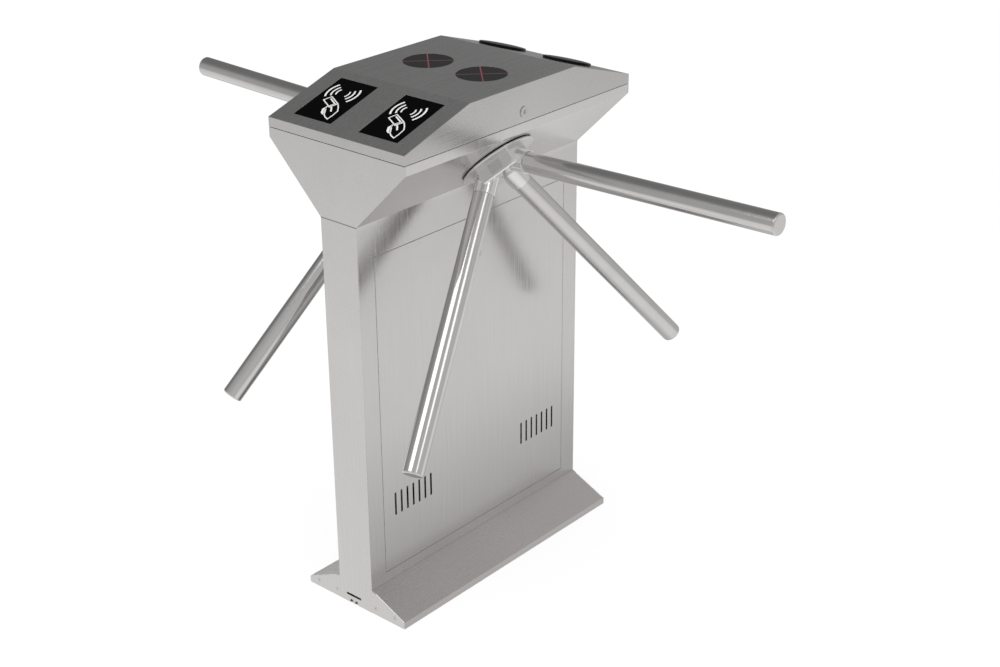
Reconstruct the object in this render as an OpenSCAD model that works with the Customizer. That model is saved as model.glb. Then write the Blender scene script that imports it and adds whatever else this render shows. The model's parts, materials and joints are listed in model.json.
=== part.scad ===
// Tripod turnstile for two lanes: one slim cabinet with a three-armed tripod on each side.
// X runs across the cabinet, Y runs along it and Z runs up.
// The origin is on the floor, under the middle of the cabinet.

/* [Cabinet] */
// Length of the cabinet
cabinet_l = 600; // [560:5:720]
// Width of the slim pedestal
pedestal_w = 85; // [82:1:100]
// Width of the head
head_w = 323; // [315:1:350]
// Height of the fold where the pedestal opens into the head
fold_z = 775; // [740:5:820]
// Height of the upright band above the slanted panel
band_h = 18; // [17:0.5:26]
// Thickness of the folded sheet
wall = 2; // [1.5:0.1:2.5]

/* [Base] */
// Width of the base over both skirts
base_w = 250; // [240:1:290]
// Thickness of the base plate
base_t = 6; // [5:0.5:10]
// Height where a skirt meets the pedestal
skirt_h = 50; // [44:1:60]
// Height of the upright lip at the outer edge of a skirt
skirt_lip_h = 13; // [11:0.5:16]
// Distance across between the anchor holes
anchor_x = 190; // [170:1:200]
// Distance along between the anchor holes
anchor_y = 500; // [460:5:520]
// Diameter of an anchor hole
anchor_d = 14; // [10:0.5:18]
// Diameter of each cable hole in the base plate
conduit_d = 32; // [20:1:40]
// Distance between the two cable holes
conduit_pitch = 300; // [200:5:400]

/* [Lid] */
// Height of the lid edge at both ends
lid_edge_h = 18; // [17:0.5:24]
// Rise of each sloping end
lid_rise = 50; // [40:1:60]
// Length of the flat top
lid_flat_l = 280; // [240:5:300]
// Gap between the lid and the cabinet
seam = 1; // [0.6:0.1:1.6]
// Width of the flange turned in under the lid
lid_flange_w = 12; // [10:0.5:15]
// Height of the rubber seal under the lid
gasket_h = 5; // [4:0.5:6]
// Width of a card reader window
reader_w = 90; // [70:1:96]
// Length of a card reader window along the slope
reader_l = 122; // [100:1:126]
// Distance from the middle of the cabinet to the middle of a reader
reader_x = 78; // [70:1:84]
// Depth of a card reader under its window
reader_d = 16; // [10:1:20]
// Diameter of a lamp lens in the flat top
top_lens_d = 92; // [80:1:96]
// Diameter of a domed lamp lens on the far slope
rear_lens_d = 90; // [80:1:94]
// Height of a domed lens above the slope
rear_lens_h = 7; // [5.5:0.5:9]
// Distance from the middle of the cabinet to the middle of a lamp in the flat top
lamp_x = 64; // [58:1:72]
// Distance from the middle of the cabinet to the middle of a domed lamp
rear_lamp_x = 78; // [70:1:84]
// Depth of a lamp housing
lamp_depth = 16; // [12:1:20]

/* [Service doors] */
// Length of the door opening
door_l = 520; // [480:5:540]
// Height of the lower edge of the door opening
door_z0 = 70; // [66:1:140]
// Height of the upper edge of the door opening
door_z1 = 710; // [690:5:720]
// Gap round a door
door_gap = 1; // [0.6:0.1:1.5]
// Width of the stop that the door closes against
door_stop_w = 15; // [12:1:20]
// Depth of the turned-in edge of the stop
door_return_d = 16; // [12:1:17]
// Height of the door lock
door_lock_z = 632; // [610:1:640]
// Place of the door lock along the cabinet
door_lock_y = 12; // [-20:1:40]
// Width of a vent slot
vent_w = 5; // [3:0.5:7]
// Length of a vent slot
vent_l = 48; // [30:1:60]
// Distance between vent slots
vent_pitch = 16; // [12:0.5:18]
// Number of vent slots in a group
vent_count = 7; // [3:1:8]
// Distance from the middle of the door to the middle of a vent group
vent_y = 180; // [150:1:185]
// Height of the middle of the vents
vent_z = 205; // [180:1:260]

/* [Tripod] */
// Distance up the slanted panel from the fold to the hub
hub_up = 80; // [75:0.5:82]
// Depth behind the panel of the point where the arm axes meet
apex_depth = 11; // [10:0.1:13]
// Angle between the spin axis and each arm
arm_tilt = 46.4; // [45:0.1:47]
// Length of an arm from that point to its tip
arm_reach = 595; // [450:5:620]
// Outer diameter of an arm tube
arm_d = 38; // [32:0.5:40]
// Wall of an arm tube
arm_wall = 2; // [1.5:0.1:3]
// Diameter of the round hub flange
flange_d = 146; // [135:1:148]
// Thickness of the hub flange
flange_t = 3; // [2.5:0.5:4]
// Gap between the hub flange and the panel
flange_gap = 2.5; // [2:0.5:4]
// Height of the hub casting
hub_h = 28; // [26:1:32]
// Diameter of the hub casting at its corners
hub_d = 112; // [108:1:116]
// Distance from the axis to each flat of the hub
hub_flat = 45; // [42:0.5:46]
// Diameter of a collar at the root of an arm
collar_d = 42; // [41:0.5:46]
// Distance from the arm meeting point to the end of a collar
collar_end = 80; // [76:1:88]

/* [Spindle] */
// Diameter of the spindle
spindle_d = 30; // [26:1:30]
// Outer diameter of a bearing
bearing_d = 62; // [58:1:64]
// Width of a bearing
bearing_w = 16; // [14:0.5:17]
// Distance between the two bearings
bearing_gap = 16; // [12:0.5:17]
// Wall of the bearing housing tube
housing_wall = 9; // [6:0.5:9]
// Thickness of the housing plate
plate_t = 6; // [5:0.5:8]
// Diameter of the locking disc
disc_d = 100; // [94:1:100]
// Thickness of the locking disc
disc_t = 6; // [4:0.5:7]
// Depth of a notch
notch_depth = 8; // [6:0.5:9]
// Width of a notch
notch_w = 11; // [10:0.5:12]

/* [Hidden] */
$fn = 96;

// Clearances and overrun
over = 1;
sit = 0.3;
run_fit = 0.03;
slip_fit = 0.05;
part_gap = 0.4;

// Cabinet outline
ped_half = pedestal_w / 2;
head_half = head_w / 2;
half_l = cabinet_l / 2;
flare = head_half - ped_half;
fold_angle = 45;
bend_z = fold_z + flare;
seam_z = bend_z + band_h;
body_top = seam_z - seam / 2;
lid_bottom = seam_z + seam / 2;
edge_z = seam_z + lid_edge_h;
top_z = edge_z + lid_rise;
fold_shift = wall * tan(fold_angle / 2);

// Lid slopes
flat_half = lid_flat_l / 2;
slope_run = half_l - flat_half;
slope_angle = atan(lid_rise / slope_run);
slope_l = slope_run / cos(slope_angle);
slope_wall = wall / cos(slope_angle);

// Base and skirts
base_half = base_w / 2;
plate_half = base_half - wall;
skirt_angle = atan((skirt_h - skirt_lip_h) / (base_half - ped_half));
skirt_drop = wall / cos(skirt_angle);
skirt_floor_gap = 0.3;
tab_h = 20;
cap_screw_z = 14;
cap_screw_in = 8.5;
cap_screw_out = 24.5;
cap_screw_r = 2;
cap_head_r = 4;
cap_screw_l = 9;
cap_fit = 0.1;
foot_slot_l = 38;
foot_slot_h = 4.5;
foot_slot_z = 15;
foot_hole_r = 4.2;
foot_hole_z = 3.2;
foot_hole_pitch = 13;
foot_x = 6;
foot_relief_d = 12;

// Equipment inside the pedestal
shelf_t = 2;
shelf_z0 = 130;
shelf_z1 = 600;
shelf_hole_d = 40;
control_l = 220;
control_h = 160;
control_d = 28;
control_z = 330;
control_y = -90;
control_lip = 6;
control_lid_t = 4;
control_screw_r = 3;
control_screw_h = 1.5;
control_gland_r = 7;
control_gland_l = 8;
control_gland_pitch = 60;
supply_l = 110;
supply_h = 200;
supply_d = 32;
supply_z = 330;
supply_y = 90;
supply_slot_w = 3;
supply_slot_l = 40;
supply_slot_pitch = 9;
supply_slot_count = 7;
supply_slot_depth = 1.5;
rail_l = 150;
rail_w = 35;
rail_h = 7.5;
rail_t = 1.5;
rail_end_in = 160;
rail_y = half_l - rail_end_in;
rail_z = 420;
terminal_w = 6;
terminal_pitch = 6.4;
terminal_count = 14;
terminal_h = 44;
terminal_d = 20;
terminal_screw_r = 1.6;
terminal_screw_in = 8;
terminal_screw_depth = 3;

// Top frame and seal
frame_w = 18;
frame_top = lid_bottom - sit - gasket_h;
gasket_w = 9;
gasket_in = 1.5;

// Card readers
reader_mid_share = 0.515;
reader_fit = 0.2;
reader_rim = 5;
reader_chip = 24;
reader_chip_h = 2;

// Lamps
lens_fit = 0.2;
lens_lip = 4;
lens_lip_t = 3;
lamp_wall = 2;
rear_lens_place_share = 0.5;
rear_neck_in = 3;
rear_rim_h = 4.5;

// Locks
lock_head_r = 10;
lock_head_t = 1.5;
lock_barrel_r = 8;
lock_plug_r = 5;
lock_key_w = 1.6;
lock_key_l = 6;
lock_key_depth = 4;
lock_nut_r = 12;
lock_nut_t = 4;
cam_t = 2.5;
cam_w = 12;
cam_hub_r = 8;
door_cam_reach = 8;
lid_lock_up = 19;
lid_lock_l = 24;
lid_lock_z = seam_z + lid_lock_up;
lid_cam_x0 = head_half - lid_lock_l - sit - cam_t;
door_cam_gap = 0.7;
door_cam_x0 = ped_half - wall - door_return_d - door_cam_gap - cam_t;
keeper_r = 2;
keeper_at = 20;
keeper_angle = 20;
keeper_edge = 1;
hook_in = 24;
hook_out = 30;
hook_bar_w = 8;
hook_sweep = 32;
keeper_post_t = 3;
keeper_post_w = 8;

// Service doors
door_rib_w = 20;
door_rib_d = 6;
door_pin_in = 8;
door_pin_l = 8;
door_pin_r = 3;

// Lid hinges
hinge_count = 3;
hinge_pitch = 220;
hinge_l = 60;
knuckle_r = 5;
hinge_pin_r = 2.5;
knuckle_gap = 0.3;
hinge_offset = 0.4;
hinge_leaf_t = 2;
hinge_leaf_h = 15;
hinge_head_r = 4;
hinge_head_t = 1.5;
hinge_x = head_half + knuckle_r + hinge_offset;
hinge_z = seam_z;

// Spindle stations along the spin axis, zero at the outer face of the panel
hub_x = ped_half + hub_up * sin(fold_angle);
hub_z = fold_z + hub_up * cos(fold_angle);
spindle_r = spindle_d / 2;
bearing_r = bearing_d / 2;
housing_r = bearing_r + housing_wall;
plate_back = -wall - plate_t;
front_bearing_back = plate_back - bearing_w;
rear_bearing_front = front_bearing_back - bearing_gap;
rear_bearing_back = rear_bearing_front - bearing_w;
bearing_dish = 1;
notch_count = 12;
bearing_shoulder = 4;
boss_front = rear_bearing_back - sit;
boss_r = 20;
disc_gap = 4;
disc_z1 = rear_bearing_back - disc_gap;
disc_z0 = disc_z1 - disc_t;
boss_tail = 10;
ring_nut_t = 8;
ring_nut_back = disc_z0 - boss_tail - ring_nut_t;
ring_nut_r = 21;
ring_nut_notch_w = 5;
ring_nut_notch_d = 3;
collar_ring_r = 19;
panel_hole_r = 34;
flange_z0 = flange_gap;
flange_z1 = flange_gap + flange_t;
flange_bevel = 1;
flange_edge = 0.5;
nose_z = flange_z1 + hub_h;
hub_bore_depth = 13;
hub_edge = 2;
stud_r = 6;
nut_r = 11;
nut_t = 6;
nut_recess = 9;
nut_recess_r = 12.5;
nut_z = nose_z - nut_recess;
stud_proud = 1;
hub_cap_t = 1.5;

// Arms
arm_r = arm_d / 2;
arm_bore_r = arm_r - arm_wall;
arm_count = 3;
collar_r = collar_d / 2;
arm_start = (flange_z1 + apex_depth + arm_r * sin(arm_tilt) + over) / cos(arm_tilt);
collar_root = 24;
spigot_l = 48;
spigot_root = 3;
tip_t = 3;
tip_round = 3;
tip_plug_l = 15;
tip_plug_wall = 3;

// Housing plate and what it carries
plate_x = 60;
plate_y0 = 80;
plate_y1 = 146;
fixing_x = 48;
fixing_y = 66;
fixing_r = 4;
fixing_fit = 0.2;
fixing_nut_r = 7.5;
fixing_nut_t = 6;
fixing_end = 3;

// Locking pawl
disc_r = disc_d / 2;
pawl_engage = 12.8;
pawl_x = 45;
pawl_tip_gap = 1;
pawl_lift = 10;
pawl_tip = disc_r - notch_depth + pawl_tip_gap;
pawl_y = pawl_tip + pawl_lift / 2;
pawl_eye_r = 11;
pawl_pin_r = 5;
pawl_post_r = 8;
pawl_head_t = 3;
pawl_bar_rise = 6;
pawl_bar_y = disc_r + pawl_bar_rise;
pawl_bar_w = 11;
pawl_tail_x = 36;
pawl_nose_w = 7;
pawl_nose_root_w = 9;
pawl_slot_x = 26;
pawl_slot_half = 5.4;
pawl_slot_r = 2.9;
drive_pin_r = 2.5;
drive_pin_x = 24;
slot_y = pawl_bar_y + pawl_bar_w / 2;
slot_lever = drive_pin_x + pawl_x;
slot_height = slot_y - pawl_y;
drive_y = pawl_y + slot_lever * tan(pawl_engage) + slot_height / cos(pawl_engage);

// Solenoid
rod_r = 4;
rod_gap = 2;
rod_z = disc_z0 - rod_gap - rod_r;
rod_nose = 6;
rod_l = 56;
rod_fit = 0.1;
coil_half = 14;
coil_gap = 17;
coil_y0 = drive_y + coil_gap;
coil_l = 42;
coil_wrap_r = 12;
coil_end_t = 3;
bracket_t = 3;

// Position sensor
fork_half = 8;
fork_overlap = 6;
fork_gap = 1;
fork_prong = 6;
fork_back = 12;
fork_stem = 8;

// Names of the separate pieces
SIDES = ["right", "left"];

// Helpers
module block(x0, x1, y0, y1, z0, z1) {
  translate([x0, y0, z0]) cube([x1 - x0, y1 - y0, z1 - z0]);
}

module on_side(side) {
  if (side == "left") mirror([1, 0, 0]) children();
  else children();
}

module both_sides() {
  for (side = SIDES) on_side(side) children();
}

// An outline in X and Z drawn out along Y, about the middle
module along_y(length) {
  rotate([90, 0, 0]) linear_extrude(height = length, center = true) children();
}

// An outline in Y and Z drawn out along X, about the middle
module along_x(length) {
  rotate([90, 0, 90]) linear_extrude(height = length, center = true) children();
}

// A cylinder along X from x0 to x1
module bar_x(x0, x1, r) {
  translate([x0, 0, 0]) rotate([0, 90, 0]) cylinder(r = r, h = x1 - x0);
}

// A cylinder along Y from y0 to y1
module bar_y(y0, y1, r) {
  translate([0, y0, 0]) rotate([-90, 0, 0]) cylinder(r = r, h = y1 - y0);
}

module tube(r_out, r_in, z0, z1) {
  translate([0, 0, z0]) difference() {
    cylinder(r = r_out, h = z1 - z0);
    translate([0, 0, -over]) cylinder(r = r_in, h = z1 - z0 + 2 * over);
  }
}

// A rectangular ring lying flat
module flat_ring(half_x, half_y, width, z0, z1) {
  difference() {
    block(-half_x, half_x, -half_y, half_y, z0, z1);
    block(-half_x + width, half_x - width, -half_y + width, half_y - width, z0 - over, z1 + over);
  }
}

// The spin axis of the right-hand tripod, Z pointing out of the slanted panel
module spin_frame() {
  translate([hub_x, 0, hub_z]) rotate([0, 90 + fold_angle, 0]) children();
}

// The axis of arm i, Z pointing to its tip; arm 0 stands level
module arm_frame(i) {
  rotate([0, 0, 180 + i * 360 / arm_count]) translate([0, 0, -apex_depth])
    rotate([0, arm_tilt, 0]) children();
}

// The front slope of the lid, Y running up the slope and Z out of it
module front_slope() {
  translate([0, -half_l, edge_z]) rotate([slope_angle, 0, 0]) children();
}

// The far slope of the lid, Y running down the slope and Z out of it
module rear_slope() {
  translate([0, flat_half, top_z]) rotate([-slope_angle, 0, 0]) children();
}

// Cabinet shell
function side_outline() = [
  [ped_half, base_t], [ped_half, fold_z], [head_half, bend_z], [head_half, body_top],
  [head_half - wall, body_top], [head_half - wall, bend_z + fold_shift],
  [ped_half - wall, fold_z + fold_shift], [ped_half - wall, base_t]
];

function end_half_outline() = [
  [ped_half, 0], [ped_half, fold_z], [head_half, bend_z], [head_half, body_top]
];

function mirrored(points) = concat(
  points, [for (i = [len(points) - 1 : -1 : 0]) [-points[i][0], points[i][1]]]
);

module door_ring(x0, x1, outside, inside) {
  half = door_l / 2;
  difference() {
    block(x0, x1, -half - outside, half + outside, door_z0 - outside, door_z1 + outside);
    block(x0 - over, x1 + over, -half + inside, half - inside, door_z0 + inside, door_z1 - inside);
  }
}

module door_pin_places() {
  for (y = [-1, 1]) translate([0, y * (door_l / 2 - door_pin_in), door_z0 + door_pin_in]) children();
}

module side_panel() {
  stop_x = ped_half - wall;
  half = door_l / 2;
  difference() {
    along_y(cabinet_l - 2 * wall) polygon(side_outline());
    block(stop_x - over, ped_half + over, -half, half, door_z0, door_z1);
    spin_frame() translate([0, 0, -wall - over]) cylinder(r = panel_hole_r, h = wall + 2 * over);
  }
  difference() {
    door_ring(stop_x - wall, stop_x, door_stop_w, door_stop_w);
    door_pin_places() bar_x(stop_x - wall - over, stop_x + over, door_pin_r + slip_fit);
  }
  door_ring(stop_x - door_return_d, stop_x - wall, wall - door_stop_w, door_stop_w);
}

module end_panel() {
  along_y(wall) polygon(mirrored(end_half_outline()));
}

module right_side_panel() {
  color("silver") side_panel();
}

module left_side_panel() {
  color("silver") on_side("left") side_panel();
}

module front_end_panel() {
  color("gainsboro") difference() {
    translate([0, wall / 2 - half_l, 0]) end_panel();
    translate([-foot_x, -half_l, 0]) {
      block(-foot_slot_l / 2, foot_slot_l / 2, -over, wall + over,
        foot_slot_z, foot_slot_z + foot_slot_h);
      for (i = [-1, 1]) translate([i * foot_hole_pitch / 2, 0, foot_hole_z])
        bar_y(-over, wall + over, foot_hole_r);
    }
  }
}

module rear_end_panel() {
  color("gainsboro") translate([0, half_l - wall / 2, 0]) end_panel();
}

// Base
module base_plate() {
  cap_x0 = ped_half + part_gap;
  color("dimgray") difference() {
    union() {
      block(-plate_half, plate_half, wall - half_l, half_l - wall, 0, base_t);
      both_sides() for (s = [-1, 1]) translate([0, s * (half_l - wall - wall / 2), 0])
        block(cap_x0, plate_half - cap_screw_out + cap_head_r, -wall / 2, wall / 2,
          base_t - over, tab_h);
    }
    for (x = [-1, 1], y = [-1, 1]) translate([x * anchor_x / 2, y * anchor_y / 2, -over])
      cylinder(d = anchor_d, h = base_t + 2 * over);
    for (y = [-1, 1]) translate([0, y * conduit_pitch / 2, -over])
      cylinder(d = conduit_d, h = base_t + 2 * over);
    block(-foot_x - foot_slot_l / 2, -foot_x + foot_slot_l / 2, -half_l, foot_relief_d - half_l,
      -over, base_t + over);
    cap_screw_places() bar_y(-cap_screw_l - over, over, cap_screw_r + cap_fit);
  }
}

// The four cap screws at each end, Y pointing out of the front end
module cap_screw_places() {
  for (s = [0, 1]) rotate([0, 0, 180 * s]) for (m = [0, 1]) mirror([m, 0, 0])
    for (x = [ped_half + cap_screw_in, base_half - cap_screw_out])
      translate([x, -half_l, cap_screw_z]) mirror([0, 1, 0]) children();
}

function skirt_outline() = [
  [ped_half, skirt_h], [base_half, skirt_lip_h], [base_half, skirt_floor_gap],
  [plate_half, skirt_floor_gap],
  [plate_half, skirt_lip_h + wall * tan(skirt_angle) - skirt_drop],
  [ped_half, skirt_h - skirt_drop]
];

function cap_outline() = [
  [ped_half, skirt_floor_gap], [ped_half, skirt_h], [base_half, skirt_lip_h],
  [base_half, skirt_floor_gap]
];

module skirt() {
  along_y(cabinet_l - 2 * wall) polygon(skirt_outline());
}

module right_skirt() {
  color("gray") skirt();
}

module left_skirt() {
  color("gray") on_side("left") skirt();
}

module cap_screw_shape(grow) {
  rotate([90, 0, 0]) {
    translate([0, 0, -over]) cylinder(r = cap_head_r + grow, h = over);
    cylinder(r1 = cap_head_r + grow, r2 = cap_screw_r + grow, h = wall);
    cylinder(r = cap_screw_r + grow, h = cap_screw_l);
  }
}

module skirt_end_caps() {
  color("silver") difference() {
    both_sides() for (s = [-1, 1]) translate([0, s * (half_l - wall / 2), 0])
      along_y(wall) polygon(cap_outline());
    cap_screw_places() cap_screw_shape(cap_fit);
  }
}

module skirt_screws() {
  color("darkgray") cap_screw_places() difference() {
    cap_screw_shape(0);
    rotate([90, 0, 0]) translate([0, 0, -2 * over]) cylinder(r = 2 * cap_head_r, h = 2 * over);
    rotate([90, 0, 0]) translate([0, 0, -over]) cylinder(r = cap_screw_r / 2, h = over + wall / 2, $fn = 6);
  }
}

// Equipment inside the pedestal
module equipment_plate() {
  color("lightsteelblue") difference() {
    block(-shelf_t / 2, shelf_t / 2, wall - half_l, half_l - wall, shelf_z0, shelf_z1);
    for (y = [-1, 1]) translate([0, y * conduit_pitch / 2, shelf_z0 + shelf_hole_d])
      bar_x(-shelf_t, shelf_t, shelf_hole_d / 2);
  }
}

module control_box() {
  x0 = shelf_t / 2;
  x1 = x0 + control_d - control_lid_t;
  x2 = x0 + control_d;
  half = control_l / 2;
  high = control_h / 2;
  color("gainsboro") translate([0, control_y, control_z]) {
    block(x0, x1, -half, half, -high, high);
    block(x1, x2 - control_screw_h, -half + control_lip, half - control_lip,
      -high + control_lip, high - control_lip);
    for (y = [-1, 1], z = [-1, 1])
      translate([0, y * (half - 2 * control_lip), z * (high - 2 * control_lip)])
        bar_x(x1, x2, control_screw_r);
    for (i = [-1 : 1])
      translate([(x0 + x1) / 2, i * control_gland_pitch, -high - control_gland_l])
        cylinder(r = control_gland_r, h = control_gland_l + over);
  }
}

module power_supply() {
  x0 = shelf_t / 2;
  x1 = x0 + supply_d;
  half = supply_l / 2;
  high = supply_h / 2;
  color("lightgray") on_side("left") translate([0, supply_y, supply_z]) difference() {
    block(x0, x1, -half, half, -high, high);
    for (row = [-1, 1], i = [0 : supply_slot_count - 1])
      translate([0, (i - (supply_slot_count - 1) / 2) * supply_slot_pitch, row * supply_h / 4])
        block(x1 - supply_slot_depth, x1 + over, -supply_slot_w / 2, supply_slot_w / 2,
          -supply_slot_l / 2, supply_slot_l / 2);
  }
}

module terminal_strip() {
  x0 = shelf_t / 2;
  x1 = x0 + rail_h;
  half = rail_l / 2;
  lip = (rail_w - terminal_d) / 2;
  color("slategray") translate([0, rail_y, rail_z]) {
    block(x0, x0 + rail_t, -half, half, -rail_w / 2 + lip, rail_w / 2 - lip);
    for (s = [0, 1]) mirror([0, 0, s]) {
      block(x0, x1, -half, half, rail_w / 2 - lip - rail_t, rail_w / 2 - lip);
      block(x1 - rail_t, x1, -half, half, rail_w / 2 - lip - rail_t, rail_w / 2);
    }
    for (i = [0 : terminal_count - 1])
      translate([0, (i - (terminal_count - 1) / 2) * terminal_pitch, 0]) difference() {
        block(x1, x1 + terminal_d, -terminal_w / 2, terminal_w / 2, -terminal_h / 2, terminal_h / 2);
        for (s = [-1, 1]) translate([0, 0, s * (terminal_h / 2 - terminal_screw_in)])
          bar_x(x1 + terminal_d - terminal_screw_depth, x1 + terminal_d + over, terminal_screw_r);
      }
  }
}

// Top frame, seal and lid hinges
module top_frame() {
  post_x = head_half - wall - frame_w;
  pin_y = keeper_at * sin(keeper_angle);
  pin_z = lid_lock_z - keeper_at * cos(keeper_angle);
  color("darkgray") {
    flat_ring(head_half - wall, half_l - wall, frame_w, frame_top - wall, frame_top);
    block(post_x, post_x + keeper_post_t, pin_y - keeper_post_w / 2, pin_y + keeper_post_w / 2,
      frame_top - wall, pin_z + keeper_r + keeper_edge);
    translate([0, pin_y, pin_z]) bar_x(lid_cam_x0 - keeper_edge, post_x + keeper_edge, keeper_r);
  }
}

module lid_gasket() {
  color([0.12, 0.12, 0.12])
    flat_ring(head_half - wall - gasket_in, half_l - wall - gasket_in, gasket_w,
      frame_top, frame_top + gasket_h);
}

module hinge_places() {
  for (i = [0 : hinge_count - 1])
    translate([-hinge_x, (i - (hinge_count - 1) / 2) * hinge_pitch, hinge_z]) children();
}

// One leaf, its plate from z0 to z1 against the wall and its knuckles at the places given
module hinge_leaf(z0, z1, own, other) {
  third = hinge_l / 3;
  face = knuckle_r + hinge_offset;
  difference() {
    union() {
      block(face - hinge_leaf_t, face, -hinge_l / 2, hinge_l / 2, z0, z1);
      for (i = own) bar_y(i * third - third / 2, i * third + third / 2, knuckle_r);
    }
    for (i = other) bar_y(i * third - third / 2 - knuckle_gap, i * third + third / 2 + knuckle_gap,
      knuckle_r + knuckle_gap);
    bar_y(-hinge_l, hinge_l, hinge_pin_r + slip_fit);
  }
}

module lid_hinge_leaves() {
  color("darkgray") hinge_places() {
    hinge_leaf(-hinge_leaf_h, -seam / 2, [-1, 1], [0]);
    bar_y(-hinge_l / 2 - over, hinge_l / 2 + over, hinge_pin_r);
    for (s = [0, 1]) mirror([0, s, 0]) bar_y(hinge_l / 2, hinge_l / 2 + hinge_head_t, hinge_head_r);
  }
}

module lid_hinge_flaps() {
  color("darkgray") hinge_places() hinge_leaf(seam / 2, hinge_leaf_h, [0], [-1, 1]);
}

// Lid
function lid_outline() = [
  [-half_l, lid_bottom], [-half_l, edge_z], [-flat_half, top_z],
  [flat_half, top_z], [half_l, edge_z], [half_l, lid_bottom]
];

function lid_hollow() = [
  [wall - half_l, lid_bottom - over],
  [wall - half_l, edge_z + wall * tan(slope_angle) - slope_wall],
  [wall * tan(slope_angle / 2) - flat_half, top_z - wall],
  [flat_half - wall * tan(slope_angle / 2), top_z - wall],
  [half_l - wall, edge_z + wall * tan(slope_angle) - slope_wall],
  [half_l - wall, lid_bottom - over]
];

module reader_places() {
  front_slope() for (x = [-1, 1])
    translate([x * reader_x, reader_mid_share * slope_l, 0]) children();
}

module top_lamp_places() {
  for (x = [-1, 1]) translate([x * lamp_x, 0, top_z]) children();
}

module rear_lamp_places() {
  rear_slope() for (x = [-1, 1])
    translate([x * rear_lamp_x, rear_lens_place_share * slope_l, 0]) children();
}

module reader_block(grow, z0, z1) {
  block(-reader_w / 2 - grow, reader_w / 2 + grow, -reader_l / 2 - grow, reader_l / 2 + grow, z0, z1);
}

module lid() {
  skin = wall + over;
  color([0.55, 0.54, 0.53]) {
    difference() {
      along_x(head_w) polygon(lid_outline());
      along_x(head_w - 2 * wall) polygon(lid_hollow());
      reader_places() reader_block(reader_fit, -skin, over);
      top_lamp_places() translate([0, 0, -skin]) cylinder(r = top_lens_d / 2 + lens_fit, h = skin + over);
      rear_lamp_places() translate([0, 0, -skin])
        cylinder(r = rear_lens_d / 2 - rear_neck_in + lens_fit, h = skin + over);
      translate([0, 0, lid_lock_z]) bar_x(head_half - skin, head_half + over, lock_barrel_r + part_gap / 2);
    }
    flat_ring(head_half - wall / 2, half_l - wall / 2, lid_flange_w + wall / 2, lid_bottom,
      lid_bottom + wall);
  }
}

module reader_windows() {
  color([0.05, 0.05, 0.06]) reader_places() reader_block(0, -wall, 0);
}

module reader_modules() {
  half = reader_chip / 2;
  color([0.15, 0.15, 0.16]) reader_places() {
    reader_block(reader_rim, -wall - reader_d, -wall);
    block(-half, half, -half / 2, half / 2, -wall - reader_d - reader_chip_h, -wall - reader_d);
  }
}

module top_lenses() {
  color([0.18, 0.18, 0.19]) top_lamp_places() {
    translate([0, 0, -wall]) cylinder(r = top_lens_d / 2, h = wall);
    translate([0, 0, -wall - lens_lip_t]) cylinder(r = top_lens_d / 2 + lens_lip, h = lens_lip_t);
  }
}

module rear_lenses() {
  r = rear_lens_d / 2;
  dome_h = rear_lens_h - rear_rim_h;
  color([0.05, 0.05, 0.06]) rear_lamp_places() {
    rotate_extrude() polygon(concat(
      [[0, 0], [r, 0]],
      [for (a = [0 : 7.5 : 90]) [r * cos(a), rear_rim_h + dome_h * sin(a)]]
    ));
    translate([0, 0, -wall - rear_neck_in]) cylinder(r = r - rear_neck_in, h = wall + rear_neck_in);
  }
}

module lamp_cup(r, z1) {
  difference() {
    translate([0, 0, z1 - lamp_depth]) cylinder(r = r, h = lamp_depth);
    translate([0, 0, z1 - lamp_depth + lamp_wall]) cylinder(r = r - lamp_wall, h = lamp_depth);
  }
}

module lamp_housings() {
  color([0.2, 0.2, 0.21]) {
    top_lamp_places() lamp_cup(top_lens_d / 2 + lens_lip, -wall - lens_lip_t);
    rear_lamp_places() lamp_cup(rear_lens_d / 2 + over, -wall);
  }
}

// Locks, each with its axis along X through the origin and its face at x1
module lock_body(x0, x1, skin_x) {
  difference() {
    union() {
      bar_x(x1, x1 + lock_head_t, lock_head_r);
      bar_x(x0, x1 + over / 2, lock_barrel_r);
      translate([skin_x - lock_nut_t, 0, 0]) rotate([90, 0, 90])
        cylinder(r = lock_nut_r, h = lock_nut_t, $fn = 6);
    }
    bar_x(x0 - over, x1 + lock_head_t + over, lock_plug_r + slip_fit);
  }
}

module lock_plug(x0, x1) {
  difference() {
    bar_x(x0, x1 + lock_head_t, lock_plug_r);
    block(x1 + lock_head_t - lock_key_depth, x1 + lock_head_t + over,
      -lock_key_w / 2, lock_key_w / 2, -lock_key_l / 2, lock_key_l / 2);
  }
}

module lid_lock_body() {
  color("silver") translate([0, 0, lid_lock_z])
    lock_body(head_half - lid_lock_l, head_half, head_half - wall);
}

// The hooked cam stands turned aside, so the lid is free
module lid_lock_plug() {
  color("goldenrod") translate([0, 0, lid_lock_z]) {
    lock_plug(lid_cam_x0, head_half);
    translate([lid_cam_x0, 0, 0]) rotate([90, 0, 90]) {
      cylinder(r = cam_hub_r, h = cam_t);
      block(-hook_out, 0, -hook_bar_w / 2, hook_bar_w / 2, 0, cam_t);
      rotate([0, 0, 180]) rotate_extrude(angle = hook_sweep) translate([hook_in, 0])
        square([hook_out - hook_in, cam_t]);
    }
  }
}

// Service doors
module vent_slot(x0, x1) {
  straight = (vent_l - vent_w) / 2;
  block(x0, x1, -vent_w / 2, vent_w / 2, -straight, straight);
  for (s = [-1, 1]) translate([0, 0, s * straight]) bar_x(x0, x1, vent_w / 2);
}

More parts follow.
